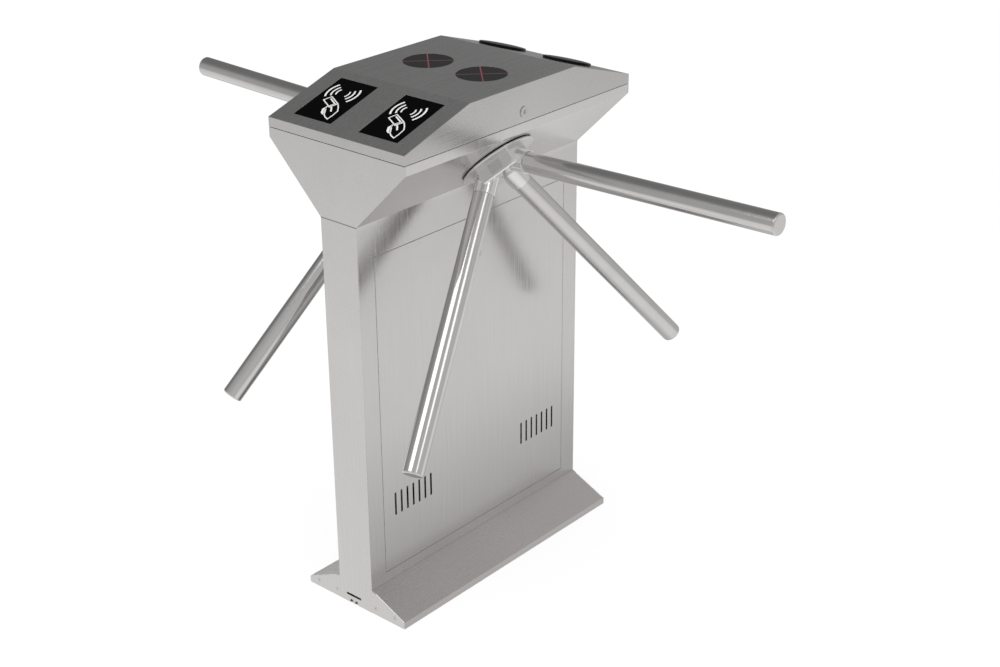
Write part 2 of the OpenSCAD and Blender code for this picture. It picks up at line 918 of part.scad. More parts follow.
module door() {
  back = ped_half - wall + sit;
  half = door_l / 2 - door_gap;
  rib_z0 = vent_z + vent_l / 2 + door_rib_w;
  rib_z1 = door_lock_z - lock_nut_r - door_rib_w;
  difference() {
    block(back, ped_half, -half, half, door_z0 + door_gap, door_z1 - door_gap);
    for (g = [-1, 1], i = [0 : vent_count - 1])
      translate([0, g * vent_y + (i - (vent_count - 1) / 2) * vent_pitch, vent_z])
        vent_slot(back - over, ped_half + over);
    translate([0, door_lock_y, door_lock_z])
      bar_x(back - over, ped_half + over, lock_barrel_r + part_gap / 2);
  }
  for (y = [-1, 1]) translate([0, y * door_l / 4, 0])
    block(back - door_rib_d, back, -door_rib_w / 2, door_rib_w / 2, rib_z0, rib_z1);
  door_pin_places() bar_x(back - door_pin_l, back, door_pin_r);
}

module door_lock_body() {
  translate([0, door_lock_y, door_lock_z])
    lock_body(door_cam_x0 + cam_t + sit, ped_half, ped_half - wall + sit);
}

// The long cam stands level, so the door is free
module door_lock_plug() {
  reach = door_z1 - door_stop_w + door_cam_reach - door_lock_z;
  translate([0, door_lock_y, door_lock_z]) {
    lock_plug(door_cam_x0, ped_half);
    bar_x(door_cam_x0, door_cam_x0 + cam_t, cam_hub_r);
    block(door_cam_x0, door_cam_x0 + cam_t, -reach, 0, -cam_w / 2, cam_w / 2);
  }
}

module right_door() {
  color("silver") door();
}

module left_door() {
  color("silver") on_side("left") door();
}

module right_door_lock_body() {
  color("lightgray") door_lock_body();
}

module left_door_lock_body() {
  color("lightgray") on_side("left") door_lock_body();
}

module right_door_lock_plug() {
  color("goldenrod") door_lock_plug();
}

module left_door_lock_plug() {
  color("goldenrod") on_side("left") door_lock_plug();
}

// Bearing housing, bolted flat behind the slanted panel
module fixing_places() {
  for (x = [-1, 1], y = [-1, 1]) translate([x * fixing_x, y * fixing_y, 0]) children();
}

module bearing_housing() {
  shelf_z = rod_z + coil_half;
  spin_frame() difference() {
    union() {
      block(-plate_x, plate_x, -plate_y0, plate_y1, plate_back, -wall);
      translate([0, 0, rear_bearing_back]) cylinder(r = housing_r, h = plate_back - rear_bearing_back + over);
      translate([drive_pin_x, coil_y0, 0]) {
        block(-coil_half, coil_half, 0, coil_l, shelf_z, shelf_z + bracket_t);
        for (y = [0, coil_l - bracket_t])
          block(-coil_half, coil_half, y, y + bracket_t, shelf_z, plate_back + over);
      }
    }
    translate([0, 0, front_bearing_back]) cylinder(r = bearing_r + run_fit, h = -front_bearing_back);
    translate([0, 0, rear_bearing_back - over])
      cylinder(r = bearing_r - bearing_shoulder, h = -rear_bearing_back);
    translate([0, 0, rear_bearing_back - over]) cylinder(r = bearing_r + run_fit, h = bearing_w + over);
    fixing_places() translate([0, 0, plate_back - over])
      cylinder(r = fixing_r + fixing_fit, h = plate_t + 2 * over);
  }
}

module right_bearing_housing() {
  color("slategray") bearing_housing();
}

module left_bearing_housing() {
  color("slategray") on_side("left") bearing_housing();
}

// Welded studs behind the panel, each with its nut
module housing_fixings() {
  color("darkgray") both_sides() spin_frame() fixing_places() {
    translate([0, 0, plate_back - fixing_nut_t - fixing_end])
      cylinder(r = fixing_r, h = plate_t + fixing_nut_t + fixing_end);
    translate([0, 0, plate_back - fixing_nut_t]) cylinder(r = fixing_nut_r, h = fixing_nut_t, $fn = 6);
  }
}

module bearing() {
  race = (bearing_r - spindle_r) / 4;
  translate([0, 0, -bearing_w]) rotate_extrude() difference() {
    translate([spindle_r + run_fit, 0]) square([bearing_r - spindle_r - run_fit, bearing_w]);
    for (y = [-over, bearing_w - bearing_dish])
      translate([spindle_r + race, y]) square([2 * race, bearing_dish + over]);
  }
}

module spindle_bearings() {
  color("lightgray") both_sides() spin_frame() {
    translate([0, 0, plate_back]) bearing();
    translate([0, 0, rear_bearing_front]) bearing();
  }
}

module pawl_pivots() {
  color("darkgray") both_sides() spin_frame() translate([-pawl_x, pawl_y, 0]) {
    translate([0, 0, disc_z1 + sit]) cylinder(r = pawl_post_r, h = plate_back - disc_z1 - sit);
    translate([0, 0, disc_z0 - sit - pawl_head_t])
      cylinder(r = pawl_pin_r, h = disc_t + 2 * sit + pawl_head_t + over);
    translate([0, 0, disc_z0 - sit - pawl_head_t]) cylinder(r = pawl_post_r, h = pawl_head_t);
  }
}

module solenoids() {
  color("firebrick") both_sides() spin_frame() translate([drive_pin_x, coil_y0, rod_z]) difference() {
    union() {
      bar_y(0, coil_l, coil_wrap_r);
      for (y = [0, coil_l - coil_end_t])
        block(-coil_half, coil_half, y, y + coil_end_t, -coil_half, coil_half);
      block(-coil_half, coil_half, 0, coil_l, coil_half - coil_end_t, coil_half);
    }
    bar_y(-over, coil_l + over, rod_r + rod_fit);
  }
}

module position_sensors() {
  z0 = disc_z0 - fork_gap - fork_prong;
  z1 = disc_z1 + fork_gap + fork_prong;
  y0 = -disc_r - fork_back;
  color([0.1, 0.1, 0.12]) both_sides() spin_frame() {
    difference() {
      block(-fork_half, fork_half, y0, -disc_r + fork_overlap, z0, z1);
      block(-fork_half - over, fork_half + over, y0 + fork_stem, -disc_r + fork_overlap + over,
        disc_z0 - fork_gap, disc_z1 + fork_gap);
    }
    block(-fork_half, fork_half, y0, y0 + fork_stem, z1 - over, plate_back);
  }
}

// Tripod
module hub() {
  spin_frame() {
    difference() {
      union() {
        translate([0, 0, flange_z1]) difference() {
          intersection() {
            cylinder(d = hub_d, h = hub_h);
            rotate([0, 0, 180 / arm_count]) cylinder(r = 2 * hub_flat, h = hub_h, $fn = arm_count);
          }
          for (i = [0 : arm_count - 1]) rotate([0, 0, i * 360 / arm_count])
            translate([hub_flat, 0, hub_h]) rotate([0, fold_angle, 0])
              cube([hub_edge * sqrt(2), hub_d, hub_edge * sqrt(2)], center = true);
        }
        for (i = [0 : arm_count - 1]) arm_frame(i)
          translate([0, 0, collar_root]) cylinder(r = collar_r, h = collar_end - collar_root);
      }
      for (i = [0 : arm_count - 1]) arm_frame(i) translate([0, 0, arm_start - sit])
        cylinder(r = arm_r + slip_fit, h = collar_end);
      translate([0, 0, flange_z1 - hub_d]) cylinder(d = 2 * hub_d, h = hub_d);
      translate([0, 0, flange_z1 - over]) cylinder(r = spindle_r + slip_fit, h = hub_bore_depth + over);
      cylinder(r = stud_r + slip_fit, h = 2 * nose_z);
      translate([0, 0, nut_z]) cylinder(r = nut_recess_r, h = nut_recess + over);
    }
    for (i = [0 : arm_count - 1]) arm_frame(i) translate([0, 0, arm_start - spigot_root])
      cylinder(r = arm_bore_r - slip_fit, h = spigot_root + spigot_l);
  }
}

module hub_flange() {
  r = flange_d / 2;
  spin_frame() rotate_extrude() polygon([
    [spindle_r + slip_fit, flange_z0], [r - flange_edge, flange_z0], [r, flange_z0 + flange_edge],
    [r, flange_z1 - flange_bevel], [r - flange_bevel, flange_z1], [spindle_r + slip_fit, flange_z1]
  ]);
}

module arm(i) {
  spin_frame() arm_frame(i) tube(arm_r, arm_bore_r, arm_start, arm_reach - tip_t);
}

module arm_tips() {
  spin_frame() for (i = [0 : arm_count - 1]) arm_frame(i) {
    rotate_extrude() translate([0, arm_reach - tip_t]) polygon(concat(
      [[0, 0]],
      [for (a = [0 : 15 : 90]) [arm_r - tip_round * (1 - cos(a)), tip_round * sin(a)]],
      [[0, tip_t]]
    ));
    tube(arm_bore_r - slip_fit, arm_bore_r - tip_plug_wall, arm_reach - tip_t - tip_plug_l,
      arm_reach - tip_t);
  }
}

module spindle() {
  spin_frame() {
    translate([0, 0, ring_nut_back])
      cylinder(r = spindle_r, h = flange_z1 + hub_bore_depth - sit - ring_nut_back);
    translate([0, 0, plate_back + sit]) cylinder(r = collar_ring_r, h = flange_z0 - plate_back - sit);
    translate([0, 0, flange_z1]) cylinder(r = stud_r, h = nut_z + nut_t + stud_proud - flange_z1);
  }
}

module locking_disc() {
  spin_frame() difference() {
    union() {
      translate([0, 0, disc_z0]) cylinder(r = disc_r, h = disc_t);
      translate([0, 0, disc_z0 - boss_tail]) cylinder(r = boss_r, h = boss_front - disc_z0 + boss_tail);
    }
    translate([0, 0, ring_nut_back]) cylinder(r = spindle_r + slip_fit, h = -ring_nut_back);
    for (k = [0 : notch_count - 1]) rotate([0, 0, k * 360 / notch_count])
      block(disc_r - notch_depth, disc_r + over, -notch_w / 2, notch_w / 2, disc_z0 - over, disc_z1 + over);
  }
}

module spindle_nuts() {
  spin_frame() {
    translate([0, 0, nut_z]) difference() {
      cylinder(r = nut_r, h = nut_t, $fn = 6);
      translate([0, 0, -over]) cylinder(r = stud_r + slip_fit, h = nut_t + 2 * over);
    }
    translate([0, 0, nose_z - hub_cap_t]) cylinder(r = nut_recess_r - slip_fit, h = hub_cap_t);
    difference() {
      translate([0, 0, ring_nut_back]) cylinder(r = ring_nut_r, h = ring_nut_t);
      translate([0, 0, ring_nut_back - over]) cylinder(r = spindle_r + slip_fit, h = ring_nut_t + 2 * over);
      for (k = [0 : 3]) rotate([0, 0, 45 + k * 90])
        block(ring_nut_r - ring_nut_notch_d, ring_nut_r + over, -ring_nut_notch_w / 2,
          ring_nut_notch_w / 2, ring_nut_back - over, ring_nut_back + ring_nut_t + over);
    }
  }
}

module right_hub() {
  color("silver") hub();
}

module left_hub() {
  color("silver") on_side("left") hub();
}

module right_hub_flange() {
  color("lightgray") hub_flange();
}

module left_hub_flange() {
  color("lightgray") on_side("left") hub_flange();
}

module right_arm_level() {
  color("whitesmoke") arm(0);
}

module right_arm_front() {
  color("whitesmoke") arm(1);
}

module right_arm_rear() {
  color("whitesmoke") arm(2);
}

module left_arm_level() {
  color("whitesmoke") on_side("left") arm(0);
}

module left_arm_front() {
  color("whitesmoke") on_side("left") arm(1);
}

module left_arm_rear() {
  color("whitesmoke") on_side("left") arm(2);
}

module right_arm_tips() {
  color("gainsboro") arm_tips();
}

module left_arm_tips() {
  color("gainsboro") on_side("left") arm_tips();
}

module right_spindle() {
  color("gray") spindle();
}

module left_spindle() {
  color("gray") on_side("left") spindle();
}

module right_locking_disc() {
  color("goldenrod") locking_disc();
}

module left_locking_disc() {
  color("goldenrod") on_side("left") locking_disc();
}

module right_spindle_nuts() {
  color("darkgray") spindle_nuts();
}

module left_spindle_nuts() {
  color("darkgray") on_side("left") spindle_nuts();
}

// Locking pawl, drawn engaged and then lifted clear of the disc
module pawl() {
  spin_frame() translate([-pawl_x, pawl_y, disc_z0]) rotate([0, 0, pawl_engage])
    translate([pawl_x, -pawl_y, 0]) linear_extrude(height = disc_t) difference() {
      union() {
        translate([-pawl_x, pawl_y]) circle(r = pawl_eye_r);
        translate([-pawl_x - pawl_eye_r, pawl_y])
          square([2 * pawl_eye_r, pawl_bar_y + pawl_bar_w - pawl_y]);
        translate([-pawl_x, pawl_bar_y]) square([pawl_x + pawl_tail_x, pawl_bar_w]);
        polygon([
          [-pawl_nose_root_w / 2, pawl_bar_y + over], [-pawl_nose_w / 2, pawl_tip],
          [pawl_nose_w / 2, pawl_tip], [pawl_nose_root_w / 2, pawl_bar_y + over]
        ]);
      }
      translate([-pawl_x, pawl_y]) circle(r = pawl_pin_r + slip_fit);
      translate([pawl_slot_x - pawl_slot_half + pawl_slot_r, slot_y - pawl_slot_r])
        square([2 * (pawl_slot_half - pawl_slot_r), 2 * pawl_slot_r]);
      for (s = [-1, 1]) translate([pawl_slot_x + s * (pawl_slot_half - pawl_slot_r), slot_y])
        circle(r = pawl_slot_r);
    }
}

module plunger() {
  spin_frame() translate([drive_pin_x, drive_y, 0]) {
    translate([0, 0, rod_z]) bar_y(-rod_nose, rod_l - rod_nose, rod_r);
    translate([0, 0, rod_z]) cylinder(r = drive_pin_r, h = disc_z1 + sit - rod_z);
  }
}

module right_pawl() {
  color("steelblue") pawl();
}

module left_pawl() {
  color("steelblue") on_side("left") pawl();
}

module right_plunger() {
  color("lightgray") plunger();
}

module left_plunger() {
  color("lightgray") on_side("left") plunger();
}

// Drawing of the pieces
base_plate();
right_side_panel();
left_side_panel();
front_end_panel();
rear_end_panel();
right_skirt();
left_skirt();
skirt_end_caps();
skirt_screws();
equipment_plate();
control_box();
power_supply();
terminal_strip();
top_frame();
lid_gasket();
lid_hinge_leaves();
right_bearing_housing();
left_bearing_housing();
housing_fixings();
spindle_bearings();
solenoids();
position_sensors();
pawl_pivots();
right_hub();
right_hub_flange();
right_arm_level();
right_arm_front();
right_arm_rear();
right_arm_tips();
right_spindle();
right_locking_disc();
right_spindle_nuts();
left_hub();
left_hub_flange();
left_arm_level();
left_arm_front();
left_arm_rear();
left_arm_tips();
left_spindle();
left_locking_disc();
left_spindle_nuts();
right_pawl();
left_pawl();
right_plunger();
left_plunger();
lid();
lid_hinge_flaps();
reader_windows();
reader_modules();
top_lenses();
rear_lenses();
lamp_housings();
lid_lock_body();
lid_lock_plug();
right_door();
left_door();
right_door_lock_body();
left_door_lock_body();
right_door_lock_plug();
left_door_lock_plug();
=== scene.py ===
"""Looks for the double-sided tripod turnstile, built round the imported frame."""
import bpy
import bmesh
import json
import math
from mathutils import Matrix, Vector

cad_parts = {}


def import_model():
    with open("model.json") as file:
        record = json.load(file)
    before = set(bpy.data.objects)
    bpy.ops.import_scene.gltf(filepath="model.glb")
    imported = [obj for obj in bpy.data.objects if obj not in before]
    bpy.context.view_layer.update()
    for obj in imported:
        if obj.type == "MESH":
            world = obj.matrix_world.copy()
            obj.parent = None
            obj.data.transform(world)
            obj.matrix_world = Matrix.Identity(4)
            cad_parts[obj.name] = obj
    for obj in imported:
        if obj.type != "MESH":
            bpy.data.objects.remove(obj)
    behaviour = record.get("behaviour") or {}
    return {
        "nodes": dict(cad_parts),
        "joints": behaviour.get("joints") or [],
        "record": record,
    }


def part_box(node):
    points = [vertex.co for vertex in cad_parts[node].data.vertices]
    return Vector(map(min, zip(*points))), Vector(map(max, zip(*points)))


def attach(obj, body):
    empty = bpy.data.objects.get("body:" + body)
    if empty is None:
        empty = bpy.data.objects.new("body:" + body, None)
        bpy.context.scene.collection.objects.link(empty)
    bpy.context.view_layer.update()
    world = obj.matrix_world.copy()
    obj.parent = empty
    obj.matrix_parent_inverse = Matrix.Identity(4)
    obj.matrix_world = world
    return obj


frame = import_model()
nodes = frame["nodes"]
joints = {j["name"]: j for j in frame["joints"]}
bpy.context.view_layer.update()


# Sizes in metres, and directions

MM = 0.001
X_AXIS = (1, 0, 0)
Y_AXIS = (0, 1, 0)
Z_AXIS = (0, 0, 1)
DIAGONAL = math.sqrt(0.5)
SIDES = {"right": 1, "left": -1}

# height of the fold between the pedestal and the head
FOLD = 775 * MM
# how far the front slope of the lid falls, and over what length
SLOPE_FALL = 50 * MM
SLOPE_RUN = 160 * MM
# how far the reader signs and the flush lamps lie from the middle of the cabinet
READER_X = 78 * MM
LAMP_X = 64 * MM
LAMP_BAR_WIDTH = 2.2 * MM
# height of the upright lip at the foot of each skirt
SKIRT_LIP = 13 * MM
# how far the flats of a hub lie from its axis, and where their middle is along it
HUB_FLAT = 45 * MM
HUB_MIDDLE = 18.5 * MM
# behind the object, as the photo sees it
BEHIND = (-0.66, 0.75, 0.0)


# Node helpers

def material(name):
    mat = bpy.data.materials.new(name)
    mat.use_nodes = True
    tree = mat.node_tree
    return mat, tree, tree.nodes["Principled BSDF"]


def own_place(tree):
    """A point's place in the frame at rest, which its piece carries along."""
    return tree.nodes.new("ShaderNodeTexCoord").outputs["Object"]


def noise(tree, scale, detail, stretch=(1, 1, 1), rough=0.5):
    mapping = tree.nodes.new("ShaderNodeMapping")
    mapping.inputs["Scale"].default_value = stretch
    tree.links.new(own_place(tree), mapping.inputs["Vector"])
    n = tree.nodes.new("ShaderNodeTexNoise")
    n.inputs["Scale"].default_value = scale
    n.inputs["Detail"].default_value = detail
    n.inputs["Roughness"].default_value = rough
    tree.links.new(mapping.outputs["Vector"], n.inputs["Vector"])
    return n.outputs["Fac"]


def spread(tree, value, low, high, start=0.3, end=0.7):
    """Low where the value is at the start, high where it is at the end, and held beyond."""
    r = tree.nodes.new("ShaderNodeMapRange")
    r.inputs["From Min"].default_value = start
    r.inputs["From Max"].default_value = end
    r.inputs["To Min"].default_value = low
    r.inputs["To Max"].default_value = high
    tree.links.new(value, r.inputs["Value"])
    return r.outputs["Result"]


def combine(tree, kind, *values):
    m = tree.nodes.new("ShaderNodeMath")
    m.operation = kind
    for i, v in enumerate(values):
        if isinstance(v, (int, float)):
            m.inputs[i].default_value = v
        else:
            tree.links.new(v, m.inputs[i])
    return m.outputs[0]


def beyond(tree, value, limit):
    """1 where the value is over the limit."""
    return combine(tree, "GREATER_THAN", value, limit)


def vector_node(tree, kind, vector):
    node = tree.nodes.new("ShaderNodeVectorMath")
    node.operation = kind
    tree.links.new(vector, node.inputs[0])
    return node


def facing(tree, vector, towards):
    """The dot product of a vector output with a fixed direction."""
    dot = vector_node(tree, "DOT_PRODUCT", vector)
    dot.inputs[1].default_value = towards
    return dot.outputs["Value"]


def mix_colour(tree, factor, a, b):
    m = tree.nodes.new("ShaderNodeMix")
    m.data_type = "RGBA"
    tree.links.new(factor, m.inputs["Factor"])
    for key, v in (("A", a), ("B", b)):
        socket = [s for s in m.inputs if s.name == key and s.type == "RGBA"][0]
        if isinstance(v, tuple):
            socket.default_value = (*v, 1.0)
        else:
            tree.links.new(v, socket)
    return [s for s in m.outputs if s.type == "RGBA"][0]


def mix_shader(tree, factor, a, b):
    m = tree.nodes.new("ShaderNodeMixShader")
    if isinstance(factor, float):
        m.inputs["Fac"].default_value = factor
    else:
        tree.links.new(factor, m.inputs["Fac"])
    tree.links.new(a, m.inputs[1])
    tree.links.new(b, m.inputs[2])
    return m.outputs[0]


def bump(tree, height, strength, distance, normal):
    b = tree.nodes.new("ShaderNodeBump")
    b.inputs["Strength"].default_value = strength
    b.inputs["Distance"].default_value = distance
    tree.links.new(height, b.inputs["Height"])
    tree.links.new(normal, b.inputs["Normal"])
    return b.outputs["Normal"]


def soft_edge(tree, radius):
    """A normal rounded over the edges, and a mask that is 1 on them."""
    bevel = tree.nodes.new("ShaderNodeBevel")
    bevel.samples = 4
    bevel.inputs["Radius"].default_value = radius
    geo = tree.nodes.new("ShaderNodeNewGeometry")
    dot = vector_node(tree, "DOT_PRODUCT", bevel.outputs["Normal"])
    tree.links.new(geo.outputs["True Normal"], dot.inputs[1])
    return bevel.outputs["Normal"], spread(tree, dot.outputs["Value"], 1.0, 0.0, 0.75, 0.99)


def toned(colour, share, lift=0.0):
    """A share of a colour, at most white."""
    return tuple(min(1.0, c * share + lift) for c in colour)


# Materials

def painted_head_light(tree, base, colour, head_light_share):
    """The sheet is a little lighter above the fold, as in the photo."""
    # painted light: the colour is made lighter above the fold, standing in for the brighter light that
    # falls on the head
    soft = 10 * MM
    height = facing(tree, own_place(tree), Z_AXIS)
    above = spread(tree, height, 0.0, 1.0, FOLD - soft, FOLD + soft)
    return mix_colour(tree, above, base, toned(colour, head_light_share))


def fold_line(tree, base):
    """A thin dark line at the fold."""
    height = facing(tree, own_place(tree), Z_AXIS)
    off = combine(tree, "ABSOLUTE", combine(tree, "SUBTRACT", height, FOLD))
    return mix_colour(tree, spread(tree, off, 0.75, 0.0, 0.6 * MM, 1.3 * MM), base, (0.08, 0.08, 0.08))


def brushed(name, colour, rough, grain, depth=0.05, edge=1.2 * MM, blotch=0.05, head_light_share=None,
            line=False):
    """Brushed steel: fine drawn lines, faint handling marks and lighter rubbed edges."""
    mat, tree, bsdf = material(name)
    coarse_share = 0.23
    fine_depth_share = 0.6
    wear_share = 0.35
    lines = noise(tree, 1.0, 2.0, grain, 0.6)
    long_lines = noise(tree, 1.0, 2.0, tuple(g * coarse_share for g in grain))
    clouds = noise(tree, 5.0, 3.0)
    marks = noise(tree, 38.0, 4.0)
    soft_normal, rim = soft_edge(tree, edge)
    base = mix_colour(tree, spread(tree, lines, 0.0, 1.0), toned(colour, 0.965), toned(colour, 1.03))
    base = mix_colour(tree, spread(tree, clouds, 0.0, 0.5), base, toned(colour, 0.95))
    base = mix_colour(tree, combine(tree, "MULTIPLY", rim, wear_share), base, toned(colour, 1.3))
    # painted light: the sheet is painted lighter above the fold, for the brighter light on the head
    if head_light_share:
        base = painted_head_light(tree, base, colour, head_light_share)
    if line:
        base = fold_line(tree, base)
    tree.links.new(base, bsdf.inputs["Base Color"])
    bsdf.inputs["Metallic"].default_value = 1.0
    value = combine(tree, "ADD", spread(tree, lines, rough - 0.05, rough + 0.05),
                    spread(tree, clouds, -blotch, blotch))
    value = combine(tree, "ADD", value, spread(tree, marks, 0.0, 0.05, 0.55, 0.8))
    value = combine(tree, "SUBTRACT", value, combine(tree, "MULTIPLY", rim, 0.05))
    tree.links.new(value, bsdf.inputs["Roughness"])
    height = combine(tree, "ADD", combine(tree, "MULTIPLY", lines, fine_depth_share),
                     combine(tree, "MULTIPLY", long_lines, 1 - fine_depth_share))
    tree.links.new(bump(tree, height, depth, 0.6 * MM, soft_normal), bsdf.inputs["Normal"])
    return mat


def polished(name, colour, rough, ripple=0.02, edge=0.8 * MM, scale=14.0):
    """Polished metal: faint ripple from buffing, small hairlines, a few dull spots."""
    mat, tree, bsdf = material(name)
    wear_share = 0.3
    clouds = noise(tree, scale, 2.0)
    hair = noise(tree, 260.0, 2.0)
    spots = noise(tree, 70.0, 4.0)
    soft_normal, rim = soft_edge(tree, edge)
    base = mix_colour(tree, spread(tree, clouds, 0.0, 1.0), toned(colour, 0.96), colour)
    base = mix_colour(tree, combine(tree, "MULTIPLY", rim, wear_share), base, toned(colour, 1.15))
    tree.links.new(base, bsdf.inputs["Base Color"])
    bsdf.inputs["Metallic"].default_value = 1.0
    value = combine(tree, "ADD", spread(tree, hair, rough - 0.02, rough + 0.03),
                    spread(tree, spots, 0.0, 0.06, 0.6, 0.85))
    tree.links.new(value, bsdf.inputs["Roughness"])
    tree.links.new(bump(tree, clouds, ripple, 2 * MM, soft_normal), bsdf.inputs["Normal"])
    return mat


def lamp_bars(tree, base):
    """Two thin bars that cross in the middle of each flush lamp."""
    place = own_place(tree)
    x = facing(tree, place, X_AXIS)
    y = facing(tree, place, Y_AXIS)
    middle = combine(tree, "SUBTRACT", combine(tree, "MULTIPLY", beyond(tree, x, 0.0), 2 * LAMP_X), LAMP_X)
    x = combine(tree, "SUBTRACT", x, middle)
    # measured along x, a bar at 45 degrees is wider than it is across
    half = LAMP_BAR_WIDTH / 2 / DIAGONAL
    for kind, colour in (("SUBTRACT", (0.16, 0.060, 0.080)), ("ADD", (0.25, 0.050, 0.078))):
        off = combine(tree, "ABSOLUTE", combine(tree, kind, x, y))
        bar = spread(tree, off, 1.0, 0.0, half - 0.1 * MM, half + 0.3 * MM)
        base = mix_colour(tree, bar, base, colour)
    return base


def moulded(name, colour, rough, grain=420.0, depth=0.12, edge=0.8 * MM, gloss=0.5, bars=False):
    """Moulded plastic, painted metal or rubber: fine orange peel, uneven gloss, worn edges."""
    mat, tree, bsdf = material(name)
    wear_share = 0.35
    peel = noise(tree, grain, 3.0)
    clouds = noise(tree, 9.0, 3.0)
    soft_normal, rim = soft_edge(tree, edge)
    base = mix_colour(tree, spread(tree, clouds, 0.0, 1.0), toned(colour, 0.88), toned(colour, 1.1))
    base = mix_colour(tree, combine(tree, "MULTIPLY", rim, wear_share), base, toned(colour, 1.5, 0.02))
    if bars:
        base = lamp_bars(tree, base)
    tree.links.new(base, bsdf.inputs["Base Color"])
    value = combine(tree, "ADD", spread(tree, peel, rough - 0.04, rough + 0.05),
                    spread(tree, clouds, -0.03, 0.04))
    tree.links.new(value, bsdf.inputs["Roughness"])
    bsdf.inputs["Specular IOR Level"].default_value = gloss
    tree.links.new(bump(tree, peel, depth, 0.4 * MM, soft_normal), bsdf.inputs["Normal"])
    return mat


def specked(name, dark, light, scale, detail):
    """A plain light surface with a fine speck."""
    mat, tree, bsdf = material(name)
    speck = noise(tree, scale, detail)
    tree.links.new(mix_colour(tree, spread(tree, speck, 0.0, 1.0), dark, light), bsdf.inputs["Base Color"])
    tree.links.new(spread(tree, speck, 0.35, 0.5), bsdf.inputs["Roughness"])
    return mat


# how fine the noise of the grain is along X, Y and Z: the small number is the way the lines run
UPRIGHT = (260, 260, 5)
LENGTHWAYS = (260, 5, 260)
EVEN = (300, 300, 300)
BRUSHED = {
    "shell_steel": dict(colour=(0.560, 0.547, 0.538), rough=0.21, grain=UPRIGHT, depth=0.02,
                        blotch=0.03, head_light_share=1.14),
    "end_steel": dict(colour=(0.602, 0.587, 0.576), rough=0.25, grain=UPRIGHT, depth=0.014,
                      blotch=0.03, line=True),
    "door_steel": dict(colour=(0.565, 0.552, 0.545), rough=0.20, grain=UPRIGHT, depth=0.02,
                       blotch=0.03),
    # the lid's steel is a little darker than the shell's: painted shade on the top of the cabinet
    "lid_steel": dict(colour=(0.548, 0.540, 0.535), rough=0.27, grain=LENGTHWAYS, depth=0.025),
    "skirt_steel": dict(colour=(0.640, 0.612, 0.600), rough=0.28, grain=(700, 6, 700), depth=0.008,
                        blotch=0.02),
    "base_steel": dict(colour=(0.42, 0.42, 0.42), rough=0.42, grain=(120, 8, 120)),
    "screw_steel": dict(colour=(0.55, 0.55, 0.54), rough=0.32, grain=(500, 500, 500), edge=0.4 * MM),
    "supply_metal": dict(colour=(0.62, 0.62, 0.63), rough=0.38, grain=(200, 200, 12)),
    "hinge_steel": dict(colour=(0.55, 0.54, 0.53), rough=0.30, grain=(300, 8, 300), edge=0.6 * MM),
    "tip_steel": dict(colour=(0.62, 0.61, 0.60), rough=0.26, grain=EVEN, edge=1.0 * MM),
    "spindle_steel": dict(colour=(0.56, 0.56, 0.57), rough=0.25, grain=EVEN),
    "patch_satin": dict(colour=(0.60, 0.60, 0.59), rough=0.34, grain=(400, 400, 400), edge=0.4 * MM),
}
POLISHED = {
    "bearing_steel": dict(colour=(0.7, 0.7, 0.71), rough=0.12),
    "lock_steel": dict(colour=(0.55, 0.54, 0.53), rough=0.20, edge=0.5 * MM),
    "lock_brass": dict(colour=(0.50, 0.48, 0.43), rough=0.24, edge=0.4 * MM),
    "hub_chrome": dict(colour=(0.74, 0.735, 0.725), rough=0.07, ripple=0.08, edge=1.2 * MM, scale=26.0),
    "flange_steel": dict(colour=(0.72, 0.715, 0.70), rough=0.32, edge=0.3 * MM),
    "arm_chrome": dict(colour=(0.61, 0.60, 0.595), rough=0.13, ripple=0.03, scale=30.0),
}
MOULDED = {
    "inner_steel": dict(colour=(0.50, 0.51, 0.52), rough=0.42, grain=90.0, depth=0.05),
    "control_grey": dict(colour=(0.46, 0.48, 0.47), rough=0.5),
    "terminal_plastic": dict(colour=(0.40, 0.41, 0.39), rough=0.5),
    "seal_rubber": dict(colour=(0.025, 0.025, 0.025), rough=0.75, grain=700.0, depth=0.3),
    "cast_housing": dict(colour=(0.17, 0.18, 0.19), rough=0.45, grain=160.0, depth=0.25),
    "coil_plastic": dict(colour=(0.30, 0.06, 0.035), rough=0.5),
    "sensor_plastic": dict(colour=(0.03, 0.03, 0.032), rough=0.45),
    "module_plastic": dict(colour=(0.045, 0.045, 0.048), rough=0.5),
    "reader_black": dict(colour=(0.0012, 0.0012, 0.0015), rough=0.22, grain=300.0, depth=0.02,
                         edge=0.5 * MM, gloss=0.02),
    "top_lens_dark": dict(colour=(0.015, 0.014, 0.0145), rough=0.24, grain=240.0, depth=0.05,
                          edge=0.5 * MM, gloss=0.06, bars=True),
    "rear_lens_dark": dict(colour=(0.003, 0.003, 0.003), rough=0.25, grain=240.0, depth=0.03,
                           edge=0.5 * MM, gloss=0.10),
    "disc_steel": dict(colour=(0.50, 0.42, 0.20), rough=0.35, grain=120.0, depth=0.05),
    "pawl_steel": dict(colour=(0.20, 0.21, 0.23), rough=0.4, grain=120.0, depth=0.1),
}
SPECKED = {
    "sign_white": dict(dark=(0.78, 0.78, 0.77), light=(0.86, 0.86, 0.85), scale=900.0, detail=2.0),
    # painted highlight: the pale strip along the sloping edges of the skirt ends
    "ground_edge": dict(dark=(0.86, 0.855, 0.85), light=(0.93, 0.925, 0.92), scale=500.0, detail=3.0),
}
MATS = {}
for maker, table in ((brushed, BRUSHED), (polished, POLISHED), (moulded, MOULDED), (specked, SPECKED)):
    for name, looks in table.items():
        MATS[name] = maker(name, **looks)

# nodes that look unlike the rest of their slot
BY_NODE = {"front_end_panel": "end_steel", "rear_end_panel": "end_steel", "skirt_end_caps": "end_steel",
           "right_door": "door_steel", "left_door": "door_steel"}
SLOT = {s["node"]: s["material_slot"] for s in frame["record"]["subparts"]}
for name, obj in nodes.items():
    mat = MATS[BY_NODE.get(name, SLOT[name])]
    if not obj.data.materials:
        obj.data.materials.append(mat)
    for slot in obj.material_slots:
        slot.material = mat


# Shapes for small pieces

